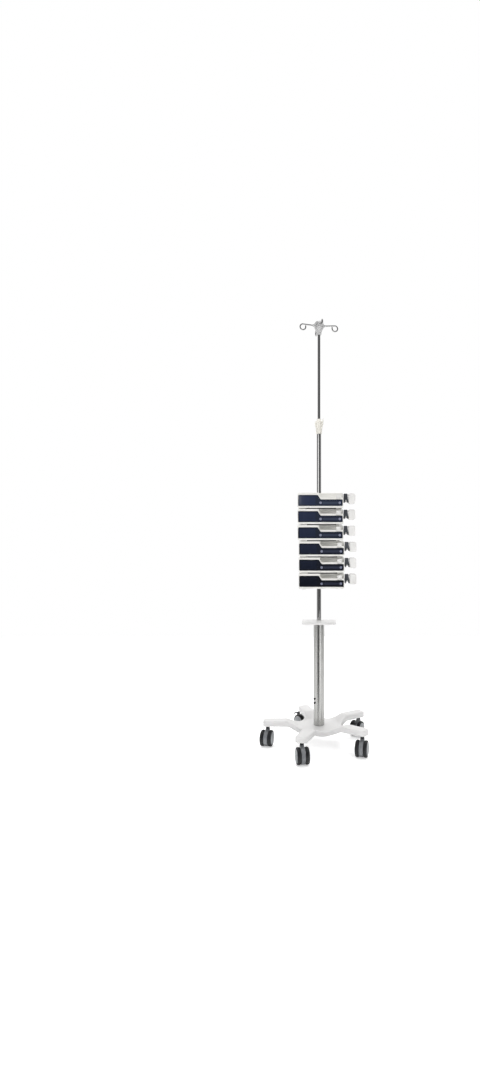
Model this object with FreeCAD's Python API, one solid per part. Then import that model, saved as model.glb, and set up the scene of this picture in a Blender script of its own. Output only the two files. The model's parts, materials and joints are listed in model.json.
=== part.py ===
import FreeCAD, Part
import math
import os

V = FreeCAD.Vector

# An infusion pole on a five-caster base with a stack of slim syringe pumps.
# Millimetres. +Z is up, +Y points to the back, and the pump fronts face -Y.
# The origin is on the floor under the axis of the lower column.

# Driving dimensions of the base
CASTER_CIRCLE = 240.0
ARM_ANGLES = (180.0, 252.0, 324.0, 36.0, 108.0)
ARM_ROOT_HALF = 31.0
ARM_TIP_HALF = 27.5
ARM_OVERHANG = 22.0
ARM_TOP = 118.0
ARM_UNDER = 93.0
HUB_TOP = 95.0
HUB_UNDER = 65.0
HUB_RADIUS = 98.0
SLOPE_END = 150.0
VALLEY_RADIUS = 80.0
BASE_WALL = 5.0
TOP_ROUNDING = 6.0
RIB_HALF = 2.0
STEM_BOSS_RADIUS = 13.0
HUB_BOSS_RADIUS = 34.0

# Driving dimensions of the casters, with the heading of each one at rest
WHEEL_RADIUS = 37.5
CASTER_TRAIL = 18.0
WHEEL_INNER = 10.5
WHEEL_OUTER = 28.0
DISC_RADIUS = 28.5
DISC_CROWN = 32.0
HOOD_RADIUS = 35.5
HOOD_HALF = 9.0
AXLE_RADIUS = 4.0
STEM_RADIUS = 6.0
NECK_RADIUS = 7.5
RUNNING_GAP = 0.05
HEADINGS = (260.0, 281.5, 257.5, 243.0, 130.0)
BRAKED = (4, 5)
PEDAL_X = 41.0
PEDAL_Z = 56.0
PEDAL_HALF = 5.0
PEDAL_PIN = 2.0
PAD_HALF = 14.0

# Driving dimensions of the column, plate and pole
COLUMN_RADIUS = 25.0
COLUMN_WALL = 2.0
COLUMN_BOTTOM = 78.0
FOOT_PLATE = 12.0
BOLT_RADIUS = 4.0
SCREW_HEIGHTS = (220.0, 201.0)
SCREW_ANGLE = 219.0
SCREW_SHANK = 2.5
SCREW_DEPTH = 6.0
PLATE_TOP = 577.0
PLATE_THICK = 7.0
PLATE_HALF = 80.0
PLATE_FRONT = -48.0
PLATE_BACK = 84.0
POLE_Y = 61.0
POLE_RADIUS = 11.0
POLE_BORE = 9.0
SOCKET_RADIUS = 21.5
SOCKET_BOTTOM = 526.0
POLE_BOTTOM = 532.0
POLE_TOP = 1502.0
COLLAR_BOTTOM = 1470.0
COLLAR_HEIGHT = 72.0
LEVER_PIVOT_X = 15.5
LEVER_PIVOT_Z = 1514.0
LEVER_HALF = 5.0
LEVER_PIN = 1.5
INNER_RADIUS = 7.0
INNER_WALL = 1.2
INNER_BOTTOM = 1090.0
BUSH_LENGTH = 34.0
HEAD_BOTTOM = 1945.0
HEAD_SEAT = 30.0
HEAD_TOP = 2011.0

# Driving dimensions of the bag hooks
HOOK_ANGLES = (10.5, 100.5, 190.5, 280.5)
HOOK_WIRE = 3.0
HOOK_RING = 13.5
HOOK_REACH = 78.0
HOOK_RING_Z = 1980.0
HOOK_SLOPE = 4.5
HOOK_ROOT = 12.0

# Driving dimensions of the pumps
PUMP_COUNT = 6
PUMP_BASE_Z = 743.0
PUMP_PITCH = 73.0
CASE_HEIGHT = 69.0
CASE_WIDTH = 207.0
CASE_FRONT = -115.0
CASE_BACK = 35.0
UPPER_LEFT = -97.0
LOWER_LEFT = -92.0
BORDER = 3.0
PANEL_WIDTH = 201.0
PANEL_LOW = 9.0
PANEL_HIGH = 58.6
STRIP_HIGH = 38.5
NOTCH_TOP = 88.4
NOTCH_LOW = 101.4
PANEL_THICK = 3.0
TROUGH_FLOOR = 47.0
CRADLE_RADIUS = 14.0
CRADLE_Y = -96.0
CRADLE_Z = 57.0
GUIDE_RADIUS = 5.0
GUIDE_Y = -56.0
GUIDE_Z = 33.0
GUIDE_START = 65.0
HEAD_WIDTH = 29.0
HEAD_GAP = 25.0
HEAD_FRONT = -114.0
HEAD_BACK = -46.0
YOKE_LEFT = CASE_WIDTH + 1.5
YOKE_Y = -84.0
YOKE_Z = 60.0
YOKE_PIN = 2.0
CLAMP_X = 175.0
CLAMP_WIDTH = 20.0
CLAMP_PIVOT_Y = -109.0
CLAMP_PIVOT_Z = 42.6
CLAMP_PIN = 1.25

# Driving dimensions of the pole clamps, behind the pumps of these numbers
CLAMPED = (2, 5)
CLAMP_HALF = 26.0
JAW_FACE = 0.3
SCREW_RADIUS = 4.0
SCREW_END = 66.0
GRIP_RADIUS = 17.0
GRIP_END = 84.0

FAR = 200.0


def flat(x, y):
    return V(x, y, 0)


def upright(x, z):
    return V(x, 0, z)


def sideways(y, z):
    return V(0, y, z)


def rounded(corners, place):
    """Closed wire through corners (a, b, radius), each corner rounded by a tangent arc."""
    count = len(corners)
    spans = []
    for i, (a, b, radius) in enumerate(corners):
        here = V(a, b, 0)
        before = V(*corners[i - 1][:2], 0) - here
        after = V(*corners[(i + 1) % count][:2], 0) - here
        if radius == 0:
            spans.append((here, here, here))
            continue
        before.normalize()
        after.normalize()
        half = before.getAngle(after) / 2
        bisector = before + after
        bisector.normalize()
        reach = radius / math.tan(half)
        centre = here + bisector * (radius / math.sin(half))
        spans.append((here + before * reach, centre - bisector * radius, here + after * reach))
    edges = []
    for i, (start, middle, end) in enumerate(spans):
        following = spans[(i + 1) % count][0]
        if (start - end).Length > 1e-6:
            points = [place(p.x, p.y) for p in (start, middle, end)]
            edges.append(Part.Arc(*points).toShape())
        if (following - end).Length > 1e-6:
            line = Part.LineSegment(place(end.x, end.y), place(following.x, following.y))
            edges.append(line.toShape())
    return Part.Wire(edges)


def prism(corners, place, start, length):
    """Solid between two parallel copies of a rounded outline."""
    normal = place(1, 0).cross(place(0, 1))
    face = Part.Face(rounded(corners, place))
    face.translate(normal * start)
    return face.extrude(normal * length)


def turned(corners, place, centre=V(0, 0, 0), axis=V(0, 0, 1)):
    """Solid of revolution of a rounded outline, round the Z axis unless another is given."""
    return Part.Face(rounded(corners, place)).revolve(centre, axis, 360)


def rod(radius, start, end):
    return Part.makeCylinder(radius, (end - start).Length, start, end - start)


def box(low, high):
    size = [b - a for a, b in zip(low, high)]
    return Part.makeBox(*size, V(*low))


def around(shape, angle):
    """Copy of a shape, turned about the Z axis."""
    copy = shape.copy()
    copy.rotate(V(0, 0, 0), V(0, 0, 1), angle)
    return copy


def moved(shape, offset):
    """Copy of a shape, carried by an offset."""
    copy = shape.copy()
    copy.translate(offset)
    return copy


def save(name, *solids):
    shape = solids[0] if len(solids) == 1 else Part.makeCompound(list(solids))
    shape.exportStep(f"parts/{name}.step")


# The base


def star(inset):
    """Plan outline of the five arms, drawn in from the outside by an inset."""
    corners = []
    tip = CASTER_CIRCLE + ARM_OVERHANG - inset
    root_half = ARM_ROOT_HALF - inset
    tip_half = ARM_TIP_HALF - inset
    valley = root_half / math.sin(math.radians(36))
    for arm in range(5):
        angle = math.radians(36 + 72 * arm)
        ahead = (math.cos(angle), math.sin(angle))
        aside = (-math.sin(angle), math.cos(angle))
        for side in (-1, 1):
            x = tip * ahead[0] + side * tip_half * aside[0]
            y = tip * ahead[1] + side * tip_half * aside[1]
            corners.append((x, y, 18 - inset / 2))
        between = angle + math.radians(36)
        corners.append((valley * math.cos(between), valley * math.sin(between), VALLEY_RADIUS))
    return corners


def base_body(inset):
    """The star cut out of a turned dish, whose seam lies along an arm: a low hub, raised arms."""
    low = -HUB_UNDER / 2 if inset else 0
    bend = 0 if inset else 30
    rim = CASTER_CIRCLE + 2 * ARM_OVERHANG
    dish = [
        (0, HUB_UNDER + low, 0),
        (HUB_RADIUS - 8, HUB_UNDER + low, bend),
        (SLOPE_END - 4, ARM_UNDER + low, bend),
        (rim, ARM_UNDER + low, 0),
        (rim, ARM_TOP - inset, 0),
        (SLOPE_END, ARM_TOP - inset, 30),
        (HUB_RADIUS, HUB_TOP - inset, 30),
        (0, HUB_TOP - inset, 0),
    ]
    solid = around(turned(dish, upright), ARM_ANGLES[3])
    return solid.common(prism(star(inset), flat, 0, FAR))


def slope_of(face):
    """Upward part of a face's outward normal, at the middle of the face."""
    u_low, u_high, v_low, v_high = face.ParameterRange
    return face.normalAt((u_low + u_high) / 2, (v_low + v_high) / 2).z


def rounded_top(body):
    """The base with the edge between its top and its upright sides rounded."""
    edges = []
    for edge in body.Edges:
        slopes = sorted(slope_of(face) for face in body.ancestorsOfType(edge, Part.Face))
        if len(slopes) == 2 and abs(slopes[0]) < 0.05 and slopes[1] > 0.5:
            edges.append(edge)
    return body.makeFillet(TOP_ROUNDING, edges)


def base_casting():
    """Cast base, open underneath, with a hub boss, stem bosses and a rib along each arm."""
    body = rounded_top(base_body(0))
    pocket = base_body(BASE_WALL)
    keep = [rod(HUB_BOSS_RADIUS, V(0, 0, 0), V(0, 0, FAR))]
    for angle in ARM_ANGLES:
        stem = rod(STEM_BOSS_RADIUS, V(CASTER_CIRCLE, 0, 0), V(CASTER_CIRCLE, 0, FAR))
        rib_root = (HUB_BOSS_RADIUS - 4, -RIB_HALF, HUB_UNDER + 4)
        rib = box(rib_root, (CASTER_CIRCLE, RIB_HALF, FAR))
        keep += [around(stem, angle), around(rib, angle)]
    pocket = pocket.cut(keep)
    body = body.cut(pocket)
    holes = [
        rod(COLUMN_RADIUS, V(0, 0, COLUMN_BOTTOM), V(0, 0, FAR)),
        rod(9.5, V(0, 0, 0), V(0, 0, HUB_UNDER + 6)),
        rod(BOLT_RADIUS, V(0, 0, 0), V(0, 0, FAR)),
    ]
    for angle in ARM_ANGLES:
        bore = rod(
            STEM_RADIUS + RUNNING_GAP,
            V(CASTER_CIRCLE, 0, 0),
            V(CASTER_CIRCLE, 0, ARM_TOP - BASE_WALL),
        )
        holes.append(around(bore, angle))
    return body.cut(holes)


def column_tube():
    """Lower column: a round tube with a threaded foot plate and a cap welded in its ends."""
    top = PLATE_TOP - PLATE_THICK
    tube = rod(COLUMN_RADIUS, V(0, 0, COLUMN_BOTTOM), V(0, 0, top))
    foot = COLUMN_BOTTOM + FOOT_PLATE
    hollow = rod(COLUMN_RADIUS - COLUMN_WALL, V(0, 0, foot), V(0, 0, top - 6))
    thread = rod(BOLT_RADIUS, V(0, 0, 0), V(0, 0, foot))
    hole = rod(SCREW_SHANK, V(COLUMN_RADIUS - SCREW_DEPTH, 0, 0), V(COLUMN_RADIUS + 1, 0, 0))
    return tube.cut([hollow, thread] + at_screws(hole))


def at_screws(shape):
    """Copies of a shape drawn on the +X side, at the two screws of the column."""
    return [moved(around(shape, SCREW_ANGLE), V(0, 0, z)) for z in SCREW_HEIGHTS]


def column_fasteners():
    """Two cap screws in the side of the column and the bolt that holds it in the hub."""
    head = rod(4.5, V(COLUMN_RADIUS, 0, 0), V(COLUMN_RADIUS + 4, 0, 0))
    socket = []
    for corner in range(7):
        angle = corner * math.pi / 3
        socket.append(V(COLUMN_RADIUS + 1.5, 2 * math.cos(angle), 2 * math.sin(angle)))
    head = head.cut(Part.Face(Part.makePolygon(socket)).extrude(V(5, 0, 0)))
    shank = rod(SCREW_SHANK, V(COLUMN_RADIUS - SCREW_DEPTH, 0, 0), V(COLUMN_RADIUS, 0, 0))
    bolt = rod(8.5, V(0, 0, HUB_UNDER + 1), V(0, 0, HUB_UNDER + 6))
    thread = rod(BOLT_RADIUS, V(0, 0, HUB_UNDER + 6), V(0, 0, COLUMN_BOTTOM + FOOT_PLATE))
    return at_screws(head.fuse(shank)) + [bolt.fuse(thread)]


def top_plate():
    """Shelf plate between the column and the pole, with a soft rounded front."""
    corners = [
        (-PLATE_HALF, PLATE_FRONT, 34),
        (PLATE_HALF, PLATE_FRONT, 34),
        (PLATE_HALF, PLATE_BACK, 16),
        (-PLATE_HALF, PLATE_BACK, 16),
    ]
    plate = prism(corners, flat, PLATE_TOP - PLATE_THICK, PLATE_THICK)
    rim = [e for e in plate.Edges if abs(e.BoundBox.ZMin - PLATE_TOP) < 0.01]
    plate = plate.makeFillet(2.5, rim)
    return plate.cut(rod(POLE_RADIUS, V(0, POLE_Y, SOCKET_BOTTOM), V(0, POLE_Y, PLATE_TOP)))


def on_pole(shape):
    return moved(shape, V(0, POLE_Y, 0))


def pole_socket():
    """Sleeve under the plate that takes the foot of the pole."""
    top = PLATE_TOP - PLATE_THICK
    profile = [
        (0, SOCKET_BOTTOM, 0),
        (SOCKET_RADIUS, SOCKET_BOTTOM, 2),
        (SOCKET_RADIUS, top, 0),
        (POLE_RADIUS, top, 0),
        (POLE_RADIUS, POLE_BOTTOM, 0),
        (0, POLE_BOTTOM, 0),
    ]
    return on_pole(turned(profile, upright))


def outer_tube():
    tube = rod(POLE_RADIUS, V(0, 0, POLE_BOTTOM), V(0, 0, POLE_TOP))
    return on_pole(tube.cut(rod(POLE_BORE, V(0, 0, 0), V(0, 0, POLE_TOP))))


# The height lock at the top of the outer tube


def collar_body():
    """Lock collar: a flared sleeve on the outer tube that guides the inner tube."""
    top = COLLAR_BOTTOM + COLLAR_HEIGHT
    profile = [
        (POLE_RADIUS, COLLAR_BOTTOM, 0),
        (14, COLLAR_BOTTOM, 1.5),
        (15.2, COLLAR_BOTTOM + 26, 30),
        (20.3, COLLAR_BOTTOM + 46, 6),
        (19, COLLAR_BOTTOM + 58, 4),
        (11, COLLAR_BOTTOM + 65, 6),
        (10, top, 2),
        (INNER_RADIUS + RUNNING_GAP, top, 0),
        (INNER_RADIUS + RUNNING_GAP, POLE_TOP, 0),
        (POLE_RADIUS, POLE_TOP, 0),
    ]
    side = LEVER_HALF + 0.4
    slot = box((10.8, -side, COLLAR_BOTTOM + 37), (30, side, top + 8))
    return on_pole(turned(profile, upright).cut(slot).fuse(lever_pin(LEVER_PIN, side + 3)))


def lever_pin(radius, half):
    """Pin across the lever's slot, or with a larger radius the hole for it."""
    start = V(LEVER_PIVOT_X, -half, LEVER_PIVOT_Z)
    return rod(radius, start, V(LEVER_PIVOT_X, half, LEVER_PIVOT_Z))


def collar_lever():
    """Release paddle that is squeezed towards the pole."""
    profile = [
        (12.2, LEVER_PIVOT_Z - 4.5, 2),
        (19.5, LEVER_PIVOT_Z - 4.5, 3),
        (20.5, LEVER_PIVOT_Z + 6, 5),
        (21.8, LEVER_PIVOT_Z + 29, 1.4),
        (18.6, LEVER_PIVOT_Z + 29, 1.2),
        (15.4, LEVER_PIVOT_Z + 12, 6),
        (12.2, LEVER_PIVOT_Z + 6, 3),
    ]
    lever = prism(profile, upright, -LEVER_HALF, 2 * LEVER_HALF)
    return on_pole(lever.cut(lever_pin(LEVER_PIN + RUNNING_GAP, 2 * LEVER_HALF)))


# The upper pole


def inner_tube():
    top = V(0, 0, HEAD_BOTTOM + HEAD_SEAT)
    tube = rod(INNER_RADIUS, V(0, 0, INNER_BOTTOM), top)
    return on_pole(tube.cut(rod(INNER_RADIUS - INNER_WALL, V(0, 0, 0), top)))


def guide_bush():
    """Sleeve at the foot of the inner tube that runs in the outer tube."""
    top = V(0, 0, INNER_BOTTOM + BUSH_LENGTH)
    bush = rod(POLE_BORE - RUNNING_GAP, V(0, 0, INNER_BOTTOM), top)
    return on_pole(bush.cut(rod(INNER_RADIUS, V(0, 0, 0), top)))


def hook_path():
    """Centre line of one hook in the XZ plane, from the head to the free tip."""
    slope = math.radians(HOOK_SLOPE)
    centre = V(HOOK_REACH, 0, HOOK_RING_Z)
    touch = centre + V(-math.sin(slope), 0, math.cos(slope)) * HOOK_RING
    ahead = V(math.cos(slope), 0, math.sin(slope))
    start = touch - ahead * ((touch.x - HOOK_ROOT) / math.cos(slope))
    outer = centre + V(HOOK_RING, 0, 0)
    inner = centre - V(HOOK_RING, 0, 0)
    below = centre - V(0, 0, HOOK_RING)
    between = centre - V(1, 0, 1) * (HOOK_RING * math.sqrt(0.5))
    tip = inner + V(0, 0, 5)
    edges = [
        Part.LineSegment(start, touch),
        Part.Arc(touch, outer, below),
        Part.Arc(below, between, inner),
        Part.LineSegment(inner, tip),
    ]
    return start, ahead, tip, Part.Wire([e.toShape() for e in edges])


def bag_hook():
    """One hook of round wire with a rounded tip, pointing along +X."""
    start, ahead, tip, path = hook_path()
    circle = Part.makeCircle(HOOK_WIRE, start, ahead)
    wire = path.makePipeShell([Part.Wire(circle)], True, False)
    return wire.fuse(Part.makeSphere(HOOK_WIRE, tip))


def bag_hooks():
    hook = bag_hook()
    return [on_pole(around(hook, angle)) for angle in HOOK_ANGLES]


def hook_head():
    """Head: a domed knob on the inner tube with a boss around each hook and flutes between."""
    profile = [
        (0, HEAD_BOTTOM, 0),
        (11, HEAD_BOTTOM, 2),
        (12.5, HEAD_BOTTOM + 14, 20),
        (22.5, HEAD_BOTTOM + 36, 16),
        (23.5, HEAD_BOTTOM + 52, 14),
        (14, HEAD_TOP, 20),
        (0, HEAD_TOP, 0),
    ]
    body = turned(profile, upright)
    start, ahead, _, _ = hook_path()
    boss = Part.makeCone(8.5, 5.5, 18, start, ahead)
    flute = Part.makeCylinder(7, 60, V(27, 0, HEAD_BOTTOM + 4), V(-0.14, 0, 1))
    bosses = [around(boss, angle) for angle in HOOK_ANGLES]
    flutes = [around(flute, angle + 45) for angle in HOOK_ANGLES]
    body = body.fuse(bosses).cut(flutes)
    bore = rod(INNER_RADIUS, V(0, 0, 0), V(0, 0, HEAD_BOTTOM + HEAD_SEAT))
    hooks = [around(bag_hook(), angle) for angle in HOOK_ANGLES]
    return on_pole(body.cut([bore] + hooks))


# One caster, drawn with its stem on the Z axis and its wheels trailing along +X


def wheel_profile():
    """Tyre section beside the hood: flat tread, rounded shoulder, bore for the disc."""
    return [
        (WHEEL_INNER, DISC_RADIUS, 0),
        (WHEEL_INNER, WHEEL_RADIUS, 2),
        (WHEEL_OUTER - 7, WHEEL_RADIUS, 10),
        (WHEEL_OUTER, WHEEL_RADIUS - 5, 3),
        (WHEEL_OUTER, DISC_RADIUS, 0),
    ]


def disc_profile():
    """Wheel core with a domed outer face and a blind bore for the axle."""
    bore = AXLE_RADIUS + RUNNING_GAP
    return [
        (WHEEL_INNER, bore, 0),
        (WHEEL_INNER, DISC_RADIUS, 0),
        (WHEEL_OUTER - 1, DISC_RADIUS, 1.5),
        (DISC_CROWN - 1.2, 17, 26),
        (DISC_CROWN, 0, 0),
        (WHEEL_OUTER - 0.5, 0, 0),
        (WHEEL_OUTER - 0.5, bore, 0),
    ]


def around_axle(corners):
    """Turn a section, given as distance along the axle and radius, on both sides."""

    def place(along, radius):
        return V(CASTER_TRAIL, along, WHEEL_RADIUS + radius)

    one = turned(corners, place, V(CASTER_TRAIL, 0, WHEEL_RADIUS), V(0, 1, 0))
    other = one.mirror(V(0, 0, 0), V(0, 1, 0))
    return [one, other]


def across(radius, x, z, half):
    """Round bar parallel to the axle, centred on the caster."""
    return rod(radius, V(x, -half, z), V(x, half, z))


def caster_hood(braked):
    """Moulded swivel body: a drum between the wheels that rises into a round neck."""
    drum = across(HOOD_RADIUS, CASTER_TRAIL, WHEEL_RADIUS, HOOD_HALF)
    shoulder = 2 * WHEEL_RADIUS + 3
    tower = [
        (CASTER_TRAIL - HOOD_RADIUS, WHEEL_RADIUS, 0),
        (CASTER_TRAIL - HOOD_RADIUS, WHEEL_RADIUS + 14, 30),
        (-HOOD_HALF, shoulder - 7, 10),
        (-NECK_RADIUS, shoulder, 0),
        (NECK_RADIUS, shoulder, 0),
        (HOOD_HALF, shoulder - 5, 8),
        (CASTER_TRAIL + 12, WHEEL_RADIUS + 33, 12),
        (CASTER_TRAIL + 12, WHEEL_RADIUS, 0),
    ]
    body = drum.fuse(prism(tower, upright, HOOD_HALF, -2 * HOOD_HALF)).removeSplitter()
    sides = []
    for edge in body.Edges:
        middle = edge.valueAt((edge.FirstParameter + edge.LastParameter) / 2)
        if edge.BoundBox.YLength < 0.01 and middle.z < shoulder - 1:
            sides.append(edge)
    body = body.makeFillet(1.5, sides)
    neck_top = ARM_UNDER - 0.5
    body = body.fuse(rod(NECK_RADIUS, V(0, 0, shoulder - 6), V(0, 0, neck_top)))
    bores = [
        rod(STEM_RADIUS, V(0, 0, shoulder - 12), V(0, 0, neck_top)),
        across(AXLE_RADIUS, CASTER_TRAIL, WHEEL_RADIUS, HOOD_HALF),
    ]
    if not braked:
        return body.cut(bores)
    side = PEDAL_HALF + 0.4
    slot = box((PEDAL_X - 13, -side, PEDAL_Z - 14), (FAR, side, FAR))
    return body.cut(bores + [slot]).fuse(across(PEDAL_PIN, PEDAL_X, PEDAL_Z, HOOD_HALF))


def caster_fork(braked):
    """The hood with its two steel pieces, the stem in the neck and the axle in the drum."""
    foot = 2 * WHEEL_RADIUS - 9
    stem = rod(STEM_RADIUS, V(0, 0, foot), V(0, 0, ARM_TOP - BASE_WALL - 0.5))
    axle = across(AXLE_RADIUS, CASTER_TRAIL, WHEEL_RADIUS, WHEEL_OUTER - 1)
    return [caster_hood(braked), stem, axle]


def brake_pedal():
    """Foot pedal on a pin in the hood, with a broad pad behind the wheels."""
    x, z = PEDAL_X, PEDAL_Z
    arm = [
        (x - 6, z - 6, 4),
        (x + 6, z - 6, 5),
        (x + 13, z + 10, 4),
        (x + 11, z + 18, 2),
        (x + 3, z + 18, 2),
        (x - 6, z + 6, 4),
    ]
    pad = [
        (x + 3, z + 21, 1.5),
        (x + 3, z + 17.5, 1),
        (x + 11, z + 16.5, 4),
        (x + 29, z + 8, 1.5),
        (x + 31, z + 12, 1.5),
        (x + 14, z + 21, 5),
    ]
    arm = prism(arm, upright, PEDAL_HALF, -2 * PEDAL_HALF)
    pedal = arm.fuse(prism(pad, upright, PAD_HALF, -2 * PAD_HALF))
    return pedal.cut(across(PEDAL_PIN + RUNNING_GAP, x, z, PAD_HALF))


def at_caster(shape, index):
    """Turn a caster piece to its heading and carry it to its arm."""
    angle = math.radians(ARM_ANGLES[index])
    stem = V(CASTER_CIRCLE * math.cos(angle), CASTER_CIRCLE * math.sin(angle), 0)
    return moved(around(shape, HEADINGS[index]), stem)


# The pumps


def pump_origin(number):
    """Lower left corner of a pump, counted from the top, in the XZ plane."""
    left = UPPER_LEFT if number <= PUMP_COUNT // 2 else LOWER_LEFT
    return V(left, 0, PUMP_BASE_Z + PUMP_PITCH * (PUMP_COUNT - number))


def case_front(inset):
    return [
        (inset, inset, 6 - inset / 2),
        (CASE_WIDTH - inset, inset, 6 - inset / 2),
        (CASE_WIDTH - inset, CASE_HEIGHT - inset, 6 - inset / 2),
        (inset, CASE_HEIGHT - inset, 6 - inset / 2),
    ]


def panel_outline(grow, corner):
    """L-shaped front panel: a tall display field and a low key strip, slanted between."""
    left = BORDER - grow
    right = BORDER + PANEL_WIDTH + grow
    return [
        (left, PANEL_LOW - grow, corner),
        (right, PANEL_LOW - grow, corner),
        (right, STRIP_HIGH + grow, corner),
        (BORDER + NOTCH_LOW + grow, STRIP_HIGH + grow, 7),
        (BORDER + NOTCH_TOP + grow, PANEL_HIGH + grow, 5),
        (left, PANEL_HIGH + grow, corner),
    ]


def trough():
    """Syringe channel: a round cradle behind a low lip, open to the front and the right."""
    long = CASE_WIDTH + 20
    cradle = rod(CRADLE_RADIUS, V(0, CRADLE_Y, CRADLE_Z), V(long, CRADLE_Y, CRADLE_Z))
    back = CRADLE_Y + CRADLE_RADIUS
    above = box((0, CASE_FRONT - 5, CRADLE_Z), (long, back, CASE_HEIGHT + 5))
    mouth = box((0, CASE_FRONT - 5, TROUGH_FLOOR), (long, CRADLE_Y, CASE_HEIGHT + 5))
    channel = cradle.fuse([above, mouth])
    window = [
        (BORDER + NOTCH_TOP + 5.5, CASE_HEIGHT + 5, 0),
        (BORDER + NOTCH_TOP + 5.5, PANEL_HIGH, 4),
        (BORDER + NOTCH_LOW + 4, 40, 0),
        (long, 40, 0),
        (long, CASE_HEIGHT + 5, 0),
    ]
    return channel.common(prism(window, upright, 0, 5 - CASE_FRONT))


def clamp_pin(radius, overhang):
    """Pin of the barrel clamp, or with a larger radius the hole for it."""
    start = V(CLAMP_X - overhang, CLAMP_PIVOT_Y, CLAMP_PIVOT_Z)
    return rod(radius, start, start + V(CLAMP_WIDTH + 2 * overhang, 0, 0))


def pump_case():
    """Pump housing with its front panel recess, syringe trough, guide bore and feet."""
    depth = CASE_BACK - CASE_FRONT
    body = prism(case_front(0), upright, -CASE_BACK, depth)
    front = [e for e in body.Edges if abs(e.BoundBox.YMax - CASE_FRONT) < 0.01]
    body = body.makeFillet(3, front)
    recess = prism(panel_outline(0, 4), upright, -CASE_FRONT - PANEL_THICK + 1, 20)
    clamp_slot = box(
        (CLAMP_X - 0.5, CASE_FRONT - 5, STRIP_HIGH + 0.3),
        (CLAMP_X + CLAMP_WIDTH + 0.5, CLAMP_PIVOT_Y + 5, CASE_HEIGHT),
    )
    guide = guide_bar(GUIDE_RADIUS + RUNNING_GAP, GUIDE_START - 5, CASE_WIDTH + 5)
    inlet = rod(4.5, V(30, CASE_BACK - 10, 22), V(30, CASE_BACK + 1, 22))
    body = body.cut([recess, trough(), clamp_slot, guide, inlet])
    foot_gap = PUMP_PITCH - CASE_HEIGHT
    feet = [
        box((x, y, -foot_gap), (x + 19, y + 12, 1))
        for x, y in ((15, -100), (15, 8), (170, -78), (170, 8))
    ]
    return body.fuse([clamp_pin(CLAMP_PIN, 2)] + feet)


def front_panel():
    return prism(panel_outline(0, 4), upright, -CASE_FRONT - PANEL_THICK + 1, PANEL_THICK)


def barrel_clamp():
    """Gate on the lip of the trough that holds the syringe barrel in its cradle."""
    y, z = CLAMP_PIVOT_Y, CLAMP_PIVOT_Z
    section = [
        (y - 2.8, z - 2.8, 2.2),
        (y + 3.0, z - 2.8, 2.2),
        (y + 3.0, z + 6, 2),
        (y - 0.6, z + 11, 8),
        (y + 1.6, z + 19.5, 1.2),
        (y - 2.8, z + 19.5, 2.0),
    ]
    gate = prism(section, sideways, CLAMP_X, CLAMP_WIDTH)
    return gate.cut(clamp_pin(CLAMP_PIN + RUNNING_GAP, 2))


def guide_bar(radius, start, end):
    """Round bar on the line of the drive's guide tube."""
    return rod(radius, V(start, GUIDE_Y, GUIDE_Z), V(end, GUIDE_Y, GUIDE_Z))


def drive_head_outline():
    left = CASE_WIDTH + HEAD_GAP
    return [
        (left, 20, 6),
        (left + HEAD_WIDTH, 20, 8),
        (left + HEAD_WIDTH, 66, 8),
        (left, 66, 4),
    ]


def yoke_pin(radius, start, end):
    """Round bar on the line of the pin that the claws swing on."""
    return rod(radius, V(start, YOKE_Y, YOKE_Z), V(end, YOKE_Y, YOKE_Z))


def pump_drive():
    """Plunger drive: a rounded head with a guide tube and the claws' pin pressed into it."""
    head = prism(drive_head_outline(), upright, -HEAD_BACK, HEAD_BACK - HEAD_FRONT)
    edges = [e for e in head.Edges if abs(e.BoundBox.YMax - HEAD_FRONT) < 0.01]
    head = head.makeFillet(3.5, edges)
    seat = CASE_WIDTH + HEAD_GAP + 5
    tube = guide_bar(GUIDE_RADIUS, GUIDE_START, seat)
    pin = yoke_pin(YOKE_PIN, YOKE_LEFT + 3, seat)
    head = head.cut([tube, pin])
    return [head, tube.cut(guide_bar(GUIDE_RADIUS - 1, GUIDE_START, seat - 5)), pin]


def pump_claws():
    """Claws: two inverted-V plates under a top block that hook over the plunger flange."""
    left = YOKE_LEFT
    right = CASE_WIDTH + HEAD_GAP - 0.8
    middle = (left + right) / 2 - 1
    legs = [
        (left + 1, 65.5, 2),
        (right - 6, 65.5, 2),
        (right - 3, 46, 6),
        (right, 24, 1),
        (right - 4.5, 24, 1),
        (middle + 1, 43, 2.5),
        (left + 5.5, 24, 1),
        (left + 1, 24, 1),
        (left, 44, 5),
    ]
    front = prism(legs, upright, 102, 4)
    rear = prism(legs, upright, 86, 4)
    block = [(left + 1, 65.5, 2), (right - 6, 65.5, 2), (right - 5, 55, 1), (left + 1, 55, 1)]
    block = prism(block, upright, 80, 26)
    claws = front.fuse([rear, block])
    return claws.cut(yoke_pin(YOKE_PIN + RUNNING_GAP, left, right))


# The clamps that hold the pump stack on the pole


def pole_clamp_body():
    """C-shaped clamp frame behind a pump: a foot plate, a V jaw and a leg for the screw."""
    jaw = -10.0
    section = [
        (-34, CASE_BACK, 2),
        (52, CASE_BACK, 2),
        (52, 73, 4),
        (36, 73, 4),
        (36, 46, 6),
        (jaw, 46, 3),
        (jaw - 6.2, POLE_Y, 0),
        (jaw, 76, 2),
        (-14, 82, 3),
        (-34, 82, 6),
    ]
    body = prism(section, flat, -CLAMP_HALF, 2 * CLAMP_HALF)
    pole = rod(POLE_RADIUS, V(0, POLE_Y, -CLAMP_HALF), V(0, POLE_Y, CLAMP_HALF))
    return body.cut([pole, clamp_screw(SCREW_RADIUS + RUNNING_GAP, 20, 60)])


def clamp_screw(radius, start, end):
    """Round bar on the line of the clamp screw."""
    return rod(radius, V(start, POLE_Y, 0), V(end, POLE_Y, 0))


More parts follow.
